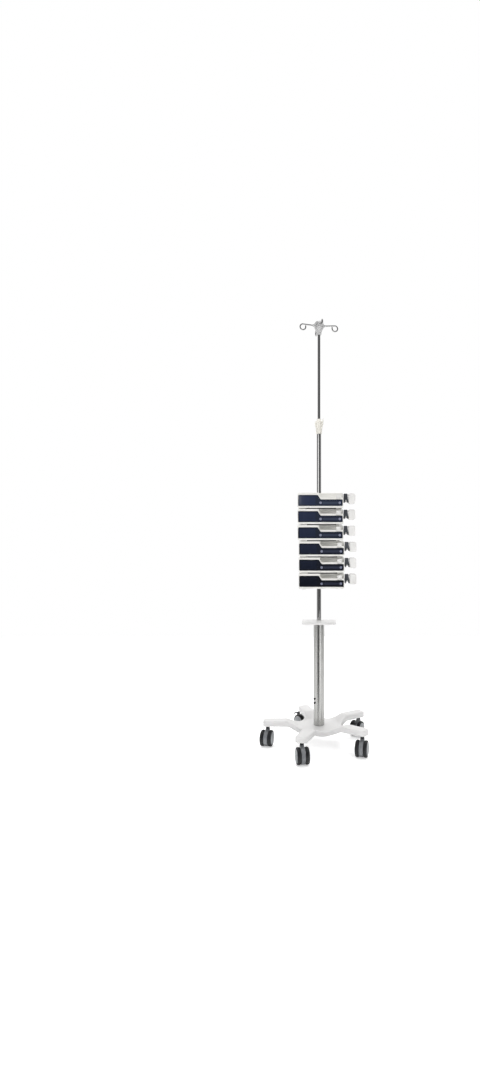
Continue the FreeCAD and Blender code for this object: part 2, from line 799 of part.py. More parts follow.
def jaw_pad():
    """Pressure pad on the tip of the clamp screw."""
    face = POLE_RADIUS + JAW_FACE
    pad = box((face, POLE_Y - 10, -16), (face + 12, POLE_Y + 10, 16))
    upright_edges = [e for e in pad.Edges if e.BoundBox.XLength > 11]
    pad = pad.makeFillet(3, upright_edges)
    return pad.cut(clamp_screw(SCREW_RADIUS + RUNNING_GAP, face + 4, face + 20))


def clamp_knob():
    """Clamp screw in a five-lobed grip."""
    seat = SCREW_END + 10
    screw = clamp_screw(SCREW_RADIUS, POLE_RADIUS + JAW_FACE + 4.5, seat)
    grip = clamp_screw(GRIP_RADIUS, SCREW_END, GRIP_END)
    rims = [e for e in grip.Edges if e.BoundBox.XLength < 0.01]
    grip = grip.makeFillet(3, rims)
    notches = []
    for lobe in range(5):
        angle = math.radians(72 * lobe)
        y = POLE_Y + (GRIP_RADIUS + 4) * math.cos(angle)
        z = (GRIP_RADIUS + 4) * math.sin(angle)
        notches.append(rod(7, V(SCREW_END, y, z), V(GRIP_END, y, z)))
    grip = grip.cut(notches).fuse(clamp_screw(8, SCREW_END - 6, SCREW_END))
    return [grip.cut(clamp_screw(SCREW_RADIUS, SCREW_END - 6, seat)), screw]


def at_clamp(shape, number):
    return moved(shape, V(0, 0, pump_origin(number).z + CASE_HEIGHT / 2))


def build():
    os.makedirs("parts", exist_ok=True)
    save("base_casting", base_casting())
    save("column_tube", column_tube())
    save("column_fasteners", *column_fasteners())
    save("top_plate", top_plate())
    save("pole_socket", pole_socket())
    save("outer_tube", outer_tube())
    save("collar_body", collar_body())
    save("collar_lever", collar_lever())
    save("inner_tube", inner_tube())
    save("guide_bush", guide_bush())
    save("hook_head", hook_head())
    save("bag_hooks", *bag_hooks())

    tyres = around_axle(wheel_profile())
    discs = around_axle(disc_profile())
    for index in range(len(ARM_ANGLES)):
        number = index + 1
        fork = caster_fork(number in BRAKED)
        save(f"caster_{number}_fork", *[at_caster(piece, index) for piece in fork])
        save(f"caster_{number}_tyres", *[at_caster(tyre, index) for tyre in tyres])
        save(f"caster_{number}_discs", *[at_caster(disc, index) for disc in discs])
        if number in BRAKED:
            save(f"brake_pedal_{number}", at_caster(brake_pedal(), index))

    pieces = {"case": [pump_case()], "barrel_clamp": [barrel_clamp()]}
    pieces["drive"] = pump_drive()
    pieces["claws"] = [pump_claws()]
    panel = front_panel()
    numbers = range(1, PUMP_COUNT + 1)
    for number in numbers:
        for name, solids in pieces.items():
            save(f"pump_{number}_{name}", *[moved(s, pump_origin(number)) for s in solids])
    save("front_panels", *[moved(panel, pump_origin(number)) for number in numbers])

    for place, number in zip(("upper", "lower"), CLAMPED):
        save(f"{place}_clamp_body", at_clamp(pole_clamp_body(), number))
        save(f"{place}_clamp_pad", at_clamp(jaw_pad(), number))
        save(f"{place}_clamp_knob", *[at_clamp(piece, number) for piece in clamp_knob()])


build()
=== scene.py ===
# %% [markdown]
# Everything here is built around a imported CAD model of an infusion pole. Loading it first gives
# the bodies that move, the solids that already have the right shape, and their places. Every
# piece below is made in the same metres and the same axes, so nothing has to be fitted.

# %% Load the frame
import json
import math

import bmesh
import bpy
from mathutils import Matrix, Vector


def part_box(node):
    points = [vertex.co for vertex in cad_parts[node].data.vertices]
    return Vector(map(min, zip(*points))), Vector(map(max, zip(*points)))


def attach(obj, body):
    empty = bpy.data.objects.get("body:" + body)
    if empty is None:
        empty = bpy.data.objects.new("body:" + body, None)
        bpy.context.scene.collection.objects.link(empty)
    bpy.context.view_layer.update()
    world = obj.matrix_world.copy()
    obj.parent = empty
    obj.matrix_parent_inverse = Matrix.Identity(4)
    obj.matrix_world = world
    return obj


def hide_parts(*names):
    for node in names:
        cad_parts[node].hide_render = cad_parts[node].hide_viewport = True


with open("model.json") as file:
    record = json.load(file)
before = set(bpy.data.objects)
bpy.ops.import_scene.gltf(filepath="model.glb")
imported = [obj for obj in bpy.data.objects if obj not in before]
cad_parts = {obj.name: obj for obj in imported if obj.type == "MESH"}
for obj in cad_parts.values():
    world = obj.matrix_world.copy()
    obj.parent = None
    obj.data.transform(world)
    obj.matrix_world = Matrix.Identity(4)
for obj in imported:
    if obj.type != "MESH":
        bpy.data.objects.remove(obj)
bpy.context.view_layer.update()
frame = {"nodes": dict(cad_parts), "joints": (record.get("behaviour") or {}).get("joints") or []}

nodes = frame["nodes"]
MM = 0.001

# %% [markdown]
# The photograph was taken with a level camera about 2.9 m in front of the stand and 1 m above
# the floor. A level camera keeps every pole upright in the picture, and the small sideways
# shift puts the stand right of the middle without turning the camera. The plain view transform
# leaves the white ground of a product picture white.

# %% Camera
PHOTO_WIDTH, PHOTO_HEIGHT = 480, 1066
OBJECT_COLUMN = 318.95
FOCAL_PIXELS = 610.6
CAMERA_AWAY = 2.87
CAMERA_HEIGHT = 0.995
SENSOR = 36.0

camera_data = bpy.data.cameras.new("camera")
camera_data.sensor_width = SENSOR
camera_data.lens = FOCAL_PIXELS / PHOTO_HEIGHT * SENSOR
camera_data.shift_x = (PHOTO_WIDTH / 2 - OBJECT_COLUMN) / PHOTO_HEIGHT
camera = bpy.data.objects.new("camera", camera_data)
camera.location = (0, -CAMERA_AWAY, CAMERA_HEIGHT)
camera.rotation_euler = (math.radians(90), 0, 0)
bpy.context.scene.collection.objects.link(camera)
bpy.context.scene.camera = camera
bpy.context.scene.view_settings.view_transform = "Standard"
print("lens", round(camera_data.lens, 2), "mm")

# %% [markdown]
# Colours are written as the hex values that a picture editor shows. The renderer works in
# linear light, so one function turns each of them into linear numbers. A second function adds
# any node with its settings and links, which keeps the materials short to read. Where it is given
# a node as an input, it links that node's first output.

# %% Colour and node helpers


def linear(code):
    """Linear RGBA from an sRGB hex code such as 'd9d9d8'."""
    values = [int(code[i : i + 2], 16) / 255 for i in (0, 2, 4)]
    curve = [v / 12.92 if v <= 0.04045 else ((v + 0.055) / 1.055) ** 2.4 for v in values]
    return (*curve, 1.0)


def add(tree, kind, inputs=None, **settings):
    """Add a node. Inputs are constants, sockets or nodes, keyed by name or number."""
    made = tree.nodes.new(kind)
    for key, value in settings.items():
        setattr(made, key, value)
    for key, value in (inputs or {}).items():
        if isinstance(value, bpy.types.Node):
            value = value.outputs[0]
        if isinstance(value, bpy.types.NodeSocket):
            tree.links.new(value, made.inputs[key])
        else:
            made.inputs[key].default_value = value
    return made


def wire(tree, shader, parts):
    """Link nodes to the shader's own sockets, such as its colour or roughness."""
    for socket, node in parts.items():
        tree.links.new(node.outputs[0], shader.inputs[socket])


def set_stops(ramp, stops):
    """Give a colour ramp its stops, as pairs of a position and a colour."""
    elements = ramp.color_ramp.elements
    elements.remove(elements[0])
    elements[0].position, elements[0].color = stops[0]
    for position, color in stops[1:]:
        elements.new(position).color = color


def finish(name, color, roughness, metallic=0.0):
    """A material with its constants on the shader's own sockets, and its Object coordinates."""
    material = bpy.data.materials.new(name)
    material.use_nodes = True
    tree = material.node_tree
    shader = tree.nodes["Principled BSDF"]
    shader.inputs["Base Color"].default_value = linear(color)
    shader.inputs["Roughness"].default_value = roughness
    shader.inputs["Metallic"].default_value = metallic
    where = add(tree, "ShaderNodeTexCoord").outputs["Object"]
    return material, tree, shader, where


def per_metre(size_mm):
    """Texture scale that gives one feature per given number of millimetres."""
    return 1000.0 / size_mm


print("d9d9d8 is", [round(v, 3) for v in linear("d9d9d8")])

# %% [markdown]
# The base and the shelf plate are metal with a polyester powder coat, sprayed on dry and baked.
# It flows into a smooth skin with a faint orange peel, a few millimetres from crest to crest,
# and a satin gloss. The peel is a soft bump, and large slow noise keeps the white from being
# one flat number.

# %% Powder-coated white
PEEL_MM, PEEL_DEPTH = 2.2, 0.0004
CLOUD_MM = 120


def powder_coat():
    material, tree, shader, where = finish("powder_coated_casting", "dbdad9", 0.38)
    peel = add(tree, "ShaderNodeTexNoise", {"Vector": where, "Scale": per_metre(PEEL_MM), "Detail": 2.0})
    bump = add(tree, "ShaderNodeBump", {"Height": peel, "Strength": 0.12, "Distance": PEEL_DEPTH})
    cloud = add(tree, "ShaderNodeTexNoise", {"Vector": where, "Scale": per_metre(CLOUD_MM), "Detail": 3.0})
    tone = add(tree, "ShaderNodeValToRGB", {0: cloud})
    set_stops(tone, [(0, linear("d6d5d4")), (1, linear("e2e1e1"))])
    gloss = add(tree, "ShaderNodeMapRange", {0: cloud, 3: 0.32, 4: 0.44})
    wire(tree, shader, {"Base Color": tone, "Roughness": gloss, "Normal": bump})
    return material


POWDER_COAT = powder_coat()
print("made", POWDER_COAT.name)

# %% [markdown]
# The lower column is stainless tube, belt-polished along its length. The belt leaves hair lines
# that run up and down, so highlights spread sideways and stay as long upright bands. The hair
# lines are a noise stretched a hundred times along the tube. They are drawn 0.9 mm wide, coarser
# than real ones, so that they show.

# %% Satin stainless steel
HAIR_MM, HAIR_DEPTH = 0.9, 0.0002
HAIR_STRETCH = 0.01


def satin_steel():
    material, tree, shader, where = finish("belt_polished_stainless", "b9b9b7", 0.24, 1.0)
    lines = add(tree, "ShaderNodeMapping", {"Vector": where, "Scale": (1, 1, HAIR_STRETCH)})
    hair = add(tree, "ShaderNodeTexNoise", {"Vector": lines, "Scale": per_metre(HAIR_MM), "Detail": 3.0})
    gloss = add(tree, "ShaderNodeMapRange", {0: hair, 3: 0.17, 4: 0.33})
    tone = add(tree, "ShaderNodeValToRGB", {0: hair})
    set_stops(tone, [(0, linear("a9a9a7")), (1, linear("c6c6c4"))])
    bump = add(tree, "ShaderNodeBump", {"Height": hair, "Strength": 0.05, "Distance": HAIR_DEPTH})
    wire(tree, shader, {"Base Color": tone, "Roughness": gloss, "Normal": bump})
    return material


SATIN_STEEL = satin_steel()
print("made", SATIN_STEEL.name)

# %% [markdown]
# The pole tubes, the socket and the hooks are chrome-plated steel. Plated chrome is close to a
# mirror, and only the handling haze of soft wiping breaks it up. The haze is a low-contrast noise
# in the roughness, at the size of a finger mark.

# %% Chrome plate
HAZE_MM = 14.0
HAZE_LOW, HAZE_HIGH = 0.35, 0.75


def chrome_plate():
    material, tree, shader, where = finish("bright_chrome_plate", "b6b6b6", 0.08, 1.0)
    haze = add(tree, "ShaderNodeTexNoise", {"Vector": where, "Scale": per_metre(HAZE_MM), "Detail": 4.0})
    gloss = add(tree, "ShaderNodeMapRange", {0: haze, 1: HAZE_LOW, 2: HAZE_HIGH, 3: 0.05, 4: 0.16})
    wire(tree, shader, {"Roughness": gloss})
    return material


CHROME = chrome_plate()
print("made", CHROME.name)

# %% [markdown]
# The mouldings differ in polymer and tool finish. Pump cases are a white ABS blend with a fine
# spark-eroded texture. The lock collar and the hook head are nylon, one warm white and one grey.
# The caster hoods and discs are glossier polypropylene. All of them take one recipe: a fine grain
# in the bump, slow colour drift, and roughness that follows the grain. Real grain is about a
# tenth of a millimetre wide. It is drawn several times coarser, so that it shows.

# %% Moulded plastics
GRAIN_DEPTH = 0.0003
DRIFT_MM = 60
DRIFT_LOW, DRIFT_HIGH = 0.3, 0.7


def moulded(name, dark, light, gloss_low, gloss_high, grain_mm, strength):
    """Plastic between two hex codes and two roughnesses, with a grain of this size and strength."""
    material, tree, shader, where = finish(name, light, gloss_low)
    grain = add(tree, "ShaderNodeTexNoise", {"Vector": where, "Scale": per_metre(grain_mm), "Detail": 3.0})
    bump = add(tree, "ShaderNodeBump", {"Height": grain, "Strength": strength, "Distance": GRAIN_DEPTH})
    drift = add(tree, "ShaderNodeTexNoise", {"Vector": where, "Scale": per_metre(DRIFT_MM), "Detail": 2.0})
    tone = add(tree, "ShaderNodeValToRGB", {0: drift})
    set_stops(tone, [(DRIFT_LOW, linear(dark)), (DRIFT_HIGH, linear(light))])
    gloss = add(tree, "ShaderNodeMapRange", {0: grain, 3: gloss_low, 4: gloss_high})
    wire(tree, shader, {"Base Color": tone, "Roughness": gloss, "Normal": bump})
    return material


CASE_ABS = moulded("textured_white_abs", "e0dfdb", "e8e7e3", 0.38, 0.5, 0.8, 0.1)
DRIVE_ABS = moulded("polished_white_abs", "dad9d7", "e3e2e0", 0.22, 0.32, 1.2, 0.04)
COLLAR_NYLON = moulded("natural_nylon", "dfdcd3", "e8e5dd", 0.4, 0.52, 1.0, 0.1)
HEAD_NYLON = moulded("grey_nylon", "b2b2b2", "c0c0c0", 0.4, 0.5, 1.0, 0.1)
HOOD_PP = moulded("grey_polypropylene", "6b6d70", "85878a", 0.24, 0.36, 1.4, 0.08)
DISC_PP = moulded("light_grey_polypropylene", "808386", "9a9da0", 0.24, 0.36, 1.4, 0.08)
PEDAL_NYLON = moulded("dark_nylon", "1d1e20", "2b2c2f", 0.4, 0.55, 1.0, 0.15)
CLAW_NYLON = moulded("glass_filled_black_nylon", "303338", "45484d", 0.35, 0.5, 0.7, 0.15)
TYRE_PU = moulded("black_polyurethane_tyre", "101113", "1c1d20", 0.38, 0.55, 1.8, 0.12)
PAD_RUBBER = moulded("black_rubber", "141414", "202020", 0.6, 0.75, 0.9, 0.2)
print("made ten moulded plastics")

# %% [markdown]
# The screws are black oxide steel, dipped and oiled, so they stay dark with a tight dull shine.
# The pole clamps are die-cast aluminium, bead-blasted: the beads leave a fine frosting that
# scatters light evenly. Both patterns are drawn coarser than real ones, so that they show.

# %% Small metals
OXIDE_MM = 0.6
FROST_MM, FROST_DEPTH = 0.7, 0.0002


def black_oxide():
    material, tree, shader, where = finish("black_oxide_steel", "17181a", 0.38, 0.7)
    grain = add(tree, "ShaderNodeTexNoise", {"Vector": where, "Scale": per_metre(OXIDE_MM), "Detail": 2.0})
    gloss = add(tree, "ShaderNodeMapRange", {0: grain, 3: 0.3, 4: 0.5})
    wire(tree, shader, {"Roughness": gloss})
    return material


def blasted_aluminium():
    material, tree, shader, where = finish("bead_blasted_aluminium", "b7b9bb", 0.5, 1.0)
    frost = add(tree, "ShaderNodeTexVoronoi", {"Vector": where, "Scale": per_metre(FROST_MM)})
    bump = add(tree, "ShaderNodeBump", {"Height": frost, "Strength": 0.15, "Distance": FROST_DEPTH})
    gloss = add(tree, "ShaderNodeMapRange", {0: frost, 3: 0.42, 4: 0.58})
    wire(tree, shader, {"Roughness": gloss, "Normal": bump})
    return material


BLACK_OXIDE = black_oxide()
BLASTED = blasted_aluminium()
print("made", BLACK_OXIDE.name, "and", BLASTED.name)

# %% [markdown]
# The front panel is one sheet of hard-coated acrylic, printed dark blue on its back. Acrylic is
# clear and smooth, so the blue lies under a sharp gloss. Print and coat are even. A slow ramp over
# the height paints shade into the colour, so the panels come out darker down the stack.

# %% Printed acrylic with painted shade
# Heights over which shade is painted into the panel colour, darkest at the low one.
SHADE_RAMP_LOW, SHADE_RAMP_HIGH = 0.75, 1.19
ACRYLIC_IOR = 1.49
SMEAR_MM = 25
SMEAR_GLOSS = 0.05


def shaded_printed_acrylic(name, low, high, roughness):
    """Acrylic over an even print, with painted shade: its colour goes from one hex code low in the stack
    to another at its top.
    """
    material, tree, shader, where = finish(name, high, roughness)
    shader.inputs["IOR"].default_value = ACRYLIC_IOR
    # Painted shade: the colour darkens towards the bottom of the stack.
    height = add(tree, "ShaderNodeSeparateXYZ", {0: where}).outputs[2]
    painted_shade_ramp = add(tree, "ShaderNodeMapRange", {0: height, 1: SHADE_RAMP_LOW, 2: SHADE_RAMP_HIGH})
    tone = add(tree, "ShaderNodeValToRGB", {0: painted_shade_ramp})
    set_stops(tone, [(0, linear(low)), (1, linear(high))])
    smear = add(tree, "ShaderNodeTexNoise", {"Vector": where, "Scale": per_metre(SMEAR_MM), "Detail": 3.0})
    gloss = add(tree, "ShaderNodeMapRange", {0: smear, 3: roughness, 4: roughness + SMEAR_GLOSS})
    wire(tree, shader, {"Base Color": tone, "Roughness": gloss})
    return material


# In each pair of codes the first, darker one is painted shade low in the stack.
PANEL = shaded_printed_acrylic("navy_printed_acrylic", "12141b", "2a303f", 0.1)
KEY_STRIP = shaded_printed_acrylic("slate_printed_acrylic", "242735", "3a4254", 0.14)
DISPLAY = shaded_printed_acrylic("display_window", "10131c", "2c344b", 0.07)
KEY_PRINT = shaded_printed_acrylic("lilac_key_print", "707488", "7f8397", 0.2)
print("made the panel prints")

# %% [markdown]
# Solids whose CAD shape is right are kept, and only take their finish. One table pairs the
# endings of the node names with materials. Only the two brake pedals have no ending there, as
# their names end in a number, and they are of dark nylon.

# %% Finishes for the solids
FINISHES = {
    "base_casting": POWDER_COAT,
    "top_plate": POWDER_COAT,
    "column_tube": SATIN_STEEL,
    "column_fasteners": BLACK_OXIDE,
    "pole_socket": CHROME,
    "outer_tube": CHROME,
    "inner_tube": CHROME,
    "bag_hooks": CHROME,
    "guide_bush": COLLAR_NYLON,
    "collar_body": COLLAR_NYLON,
    "collar_lever": COLLAR_NYLON,
    "hook_head": HEAD_NYLON,
    "front_panels": PANEL,
    "fork": HOOD_PP,
    "tyres": TYRE_PU,
    "discs": DISC_PP,
    "clamp_body": BLASTED,
    "clamp_pad": PAD_RUBBER,
    "clamp_knob": CLAW_NYLON,
    "case": CASE_ABS,
    "barrel_clamp": DRIVE_ABS,
    "drive": DRIVE_ABS,
    "claws": CLAW_NYLON,
}
for name, solid in nodes.items():
    endings = [key for key in FINISHES if name.endswith(key)]
    material = FINISHES[max(endings, key=len)] if endings else PEDAL_NYLON
    for place in solid.material_slots:
        place.material = material
print("finished", len(nodes), "solids")

# %% [markdown]
# Added pieces need four kinds of shape. A lathe turns a profile round an axis, for keys, rims and
# screws. A plate is a flat outline with rounded corners and softened front edges. Geometry Nodes
# repeat a shape by a rule or grow one from sizes. Whatever the source, a piece ends as one clean
# mesh: doubles merged, normals outwards, smooth except at its sharp edges.

# %% Shape helpers
DOUBLES = 1e-6


def lathe(profile, centre, axis, count=40):
    """Closed mesh from (radius, height) points in mm, turned round an axis through a centre."""
    shape = bmesh.new()
    facing = Vector(axis).to_track_quat("Z", "Y").to_matrix()
    rings = []
    for radius, height in profile:
        steps = [2 * math.pi * i / count for i in range(count)] if radius else [0.0]
        places = [Vector((radius * math.cos(a), radius * math.sin(a), height)) for a in steps]
        rings.append([shape.verts.new(facing @ p * MM + Vector(centre)) for p in places])
    for ring, following in zip(rings, rings[1:] + rings[:1]):
        for i in range(count):
            corners = [
                ring[i % len(ring)],
                ring[(i + 1) % len(ring)],
                following[(i + 1) % len(following)],
                following[i % len(following)],
            ]
            corners = list(dict.fromkeys(corners))
            if len(corners) > 2:
                shape.faces.new(corners)
    return closed(shape)


def rounded(corners, steps=6):
    """Points of an outline whose corners (x, z, radius) are rounded by arcs."""
    points = []
    for i, (x, z, radius) in enumerate(corners):
        here = Vector((x, z))
        before = (Vector(corners[i - 1][:2]) - here).normalized()
        after = (Vector(corners[(i + 1) % len(corners)][:2]) - here).normalized()
        half = before.angle(after) / 2
        middle = here + (before + after).normalized() * (radius / math.sin(half))
        start = here + before * (radius / math.tan(half)) - middle
        end = here + after * (radius / math.tan(half)) - middle
        points += [middle + start.slerp(end, step / steps) for step in range(steps + 1)]
    return points


def plate(corners, corner_at, back, front, soften):
    """Plate in mm that faces the front, on an outline in the XZ plane from a corner."""
    shape = bmesh.new()
    outline = rounded(corners)
    rims = []
    for depth in (back, front):
        places = [Vector((p.x, depth, p.y)) * MM + corner_at for p in outline]
        rims.append([shape.verts.new(place) for place in places])
    for rim in rims:
        shape.faces.new(rim)
    for i in range(len(outline)):
        shape.faces.new([rims[0][i - 1], rims[0][i], rims[1][i], rims[1][i - 1]])
    edges = [e for e in shape.edges if all(v in rims[1] for v in e.verts)]
    bmesh.ops.bevel(shape, geom=edges, offset=soften * MM, segments=2, affect="EDGES")
    return closed(shape)


def closed(shape):
    """Mesh with doubles merged and its normals outwards."""
    bmesh.ops.remove_doubles(shape, verts=shape.verts, dist=DOUBLES)
    bmesh.ops.recalc_face_normals(shape, faces=shape.faces)
    mesh = bpy.data.meshes.new("shape")
    shape.to_mesh(mesh)
    shape.free()
    return mesh


def keep(name, mesh, material, body, sharp=35):
    """Put a finished mesh on the body that carries it. Edges over the sharp angle stay sharp."""
    mesh.materials.clear()
    mesh.materials.append(material)
    mesh.shade_smooth()
    mesh.set_sharp_from_angle(angle=math.radians(sharp))
    piece = bpy.data.objects.new(name, mesh)
    bpy.context.scene.collection.objects.link(piece)
    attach(piece, body)
    return piece


print("shape helpers ready")

# %% [markdown]
# A node tree is built once and run with sizes from the frame. Every size is a named input of the
# tree, so the same tree serves other sizes. The last two nodes turn the instances into real faces
# and give them their material.

# %% Geometry Nodes helpers


def start_tree(name, sizes):
    """A tree with a mesh in, a mesh out and one named input for each size."""
    tree = bpy.data.node_groups.new(name, "GeometryNodeTree")
    tree.interface.new_socket("Geometry", in_out="INPUT", socket_type="NodeSocketGeometry")
    tree.interface.new_socket("Geometry", in_out="OUTPUT", socket_type="NodeSocketGeometry")
    for key in sizes:
        kind = "NodeSocketInt" if isinstance(sizes[key], int) else "NodeSocketFloat"
        tree.interface.new_socket(key, in_out="INPUT", socket_type=kind)
    return tree, tree.nodes.new("NodeGroupInput").outputs


def end_tree(tree, geometry, material):
    """Turn what the tree made into real faces with their material."""
    real = add(tree, "GeometryNodeRealizeInstances", {0: geometry})
    dressed = add(tree, "GeometryNodeSetMaterial", {0: real, "Material": material})
    add(tree, "NodeGroupOutput", {0: dressed})


def grow(tree, seed, sizes):
    """Run a tree on a seed mesh with these sizes, and return the plain mesh."""
    carrier = bpy.data.objects.new("carrier", seed)
    bpy.context.scene.collection.objects.link(carrier)
    modifier = carrier.modifiers.new("grow", "NODES")
    modifier.node_group = tree
    for item in tree.interface.items_tree:
        if item.in_out == "INPUT" and item.name in sizes:
            modifier[item.identifier] = sizes[item.name]
    bpy.context.view_layer.update()
    done = carrier.evaluated_get(bpy.context.evaluated_depsgraph_get())
    grown = bpy.data.meshes.new_from_object(done)
    bpy.data.objects.remove(carrier)
    shape = bmesh.new()
    shape.from_mesh(grown)
    return closed(shape)


print("node helpers ready")

# %% [markdown]
# Six pumps stand in one stack, and the lower three sit a few millimetres to the right. A detail is
# modelled once on the top pump, and a tree repeats it down the stack, with a second column where
# the detail comes in pairs. The pitch and the shift are read from the CAD cases.

# %% Detail down the pump stack
CASE_HEIGHT_MM = 69.0
PANEL_FACE_MM = -116.0

top_low, top_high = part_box("pump_1_case")
TOP_CORNER = Vector((top_low.x, 0, top_high.z - CASE_HEIGHT_MM * MM))
STACK = {
    "Pumps": 6,
    "Upper pumps": 3,
    "Pitch": top_low.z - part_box("pump_2_case")[0].z,
    "Lower shift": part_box("pump_4_case")[0].x - top_low.x,
    "Columns": 1,
    "Column gap": 0.0864,
}


def stack_tree(material):
    """Tree that repeats a detail of the top pump on the pumps below it."""
    tree, size = start_tree("pump_stack", STACK)
    fall = add(tree, "ShaderNodeMath", {0: size["Pitch"], 1: -1.0}, operation="MULTIPLY")
    drop = add(tree, "ShaderNodeCombineXYZ", {2: fall})
    down = add(tree, "GeometryNodeMeshLine", {"Count": size["Pumps"], "Offset": drop})
    number = add(tree, "GeometryNodeInputIndex")
    last = add(tree, "ShaderNodeMath", {0: size["Upper pumps"], 1: 0.5}, operation="SUBTRACT")
    lower = add(tree, "ShaderNodeMath", {0: number, 1: last}, operation="GREATER_THAN")
    shift = {0: lower, 1: size["Lower shift"]}
    aside = add(tree, "ShaderNodeMath", shift, operation="MULTIPLY")
    step = add(tree, "ShaderNodeCombineXYZ", {0: aside})
    shifted = add(tree, "GeometryNodeSetPosition", {0: down, "Offset": step})
    gap = add(tree, "ShaderNodeCombineXYZ", {0: size["Column gap"]})
    row = add(tree, "GeometryNodeMeshLine", {"Count": size["Columns"], "Offset": gap})
    rows = add(tree, "GeometryNodeInstanceOnPoints", {0: shifted, "Instance": row})
    places = add(tree, "GeometryNodeRealizeInstances", {0: rows})
    copies = {0: places, "Instance": size["Geometry"]}
    end_tree(tree, add(tree, "GeometryNodeInstanceOnPoints", copies), material)
    return tree


def stacked(name, seed, material, columns=1, pumps=6):
    """One piece from a detail of the top pump, repeated down the stack."""
    mesh = grow(stack_tree(material), seed, {**STACK, "Columns": columns, "Pumps": pumps})
    return keep(name, mesh, material, "stand")


pitch_mm, shift_mm = [round(STACK[key] / MM, 2) for key in ("Pitch", "Lower shift")]
print("pitch", pitch_mm, "mm, lower shift", shift_mm, "mm")

# %% [markdown]
# The tall left part of each panel is a display window, and the low right part is a key strip with
# a round soft key at either end. Window and strip are separate acrylic insets a fraction of a
# millimetre proud, with softened edges that catch a thin line of light.

# %% Panel windows, strips and keys
WINDOW = [(8, 14.5, 2.5), (83, 14.5, 2.5), (83, 53.5, 2.5), (8, 53.5, 2.5)]
STRIP = [(111.5, 17.2, 2), (183.5, 17.2, 2), (183.5, 29.4, 2), (111.5, 29.4, 2)]
INSET_BACK = PANEL_FACE_MM + 0.4
WINDOW_FRONT, WINDOW_EDGE = PANEL_FACE_MM - 0.35, 0.25
STRIP_FRONT, STRIP_EDGE = PANEL_FACE_MM - 0.5, 0.3
KEY_X, KEY_Z = 104.2, 23.3
KEY = [(0, -0.6), (5.4, -0.6), (5.7, 0.2), (5.6, 0.9), (5.0, 1.3), (3.4, 1.15), (0, 0.95)]

window = plate(WINDOW, TOP_CORNER, INSET_BACK, WINDOW_FRONT, WINDOW_EDGE)
stacked("display_windows", window, DISPLAY)
strip = plate(STRIP, TOP_CORNER, INSET_BACK, STRIP_FRONT, STRIP_EDGE)
stacked("key_strips", strip, KEY_STRIP)
key_place = TOP_CORNER + Vector((KEY_X, PANEL_FACE_MM, KEY_Z)) * MM
stacked("pump_keys", lathe(KEY, key_place, (0, -1, 0)), KEY_PRINT, columns=2)
print("windows, strips and twelve keys")

# %% [markdown]
# Each caster has two soft tyres. A tyre is grown by rule from a flat grid: one direction runs
# round the axle and the other round the section, which is a superellipse, fuller than a circle
# and with rounded shoulders. The tyre stays a hair inside the CAD one. The axle's height, heading
# and place come from the frame's own joints.

# %% Tyres
TYRE = {
    "Wheel radius": 0.0372,
    "Bore radius": 0.0283,
    "Inner face": 0.0105,
    "Outer face": 0.0268,
    "Fullness": 2.1,
}
WHEEL_STEPS, SECTION_STEPS = 72, 28
SEAM_GAP = 1e-5
FULL_TURN = 2 * math.pi
CASTERS = range(1, 6)


def bulge(tree, part, power):
    """Superellipse form of a sine or cosine: its size to a power, with its sign."""
    size = add(tree, "ShaderNodeMath", {0: part}, operation="ABSOLUTE")
    fuller = add(tree, "ShaderNodeMath", {0: size, 1: power}, operation="POWER")
    sign = add(tree, "ShaderNodeMath", {0: part}, operation="SIGN")
    return add(tree, "ShaderNodeMath", {0: sign, 1: fuller}, operation="MULTIPLY")


def halfway(tree, low, high):
    """Middle and half width between two sizes."""
    total = add(tree, "ShaderNodeMath", {0: low, 1: high}, operation="ADD")
    middle = add(tree, "ShaderNodeMath", {0: total, 1: 0.5}, operation="MULTIPLY")
    width = add(tree, "ShaderNodeMath", {0: high, 1: low}, operation="SUBTRACT")
    return middle, add(tree, "ShaderNodeMath", {0: width, 1: 0.5}, operation="MULTIPLY")


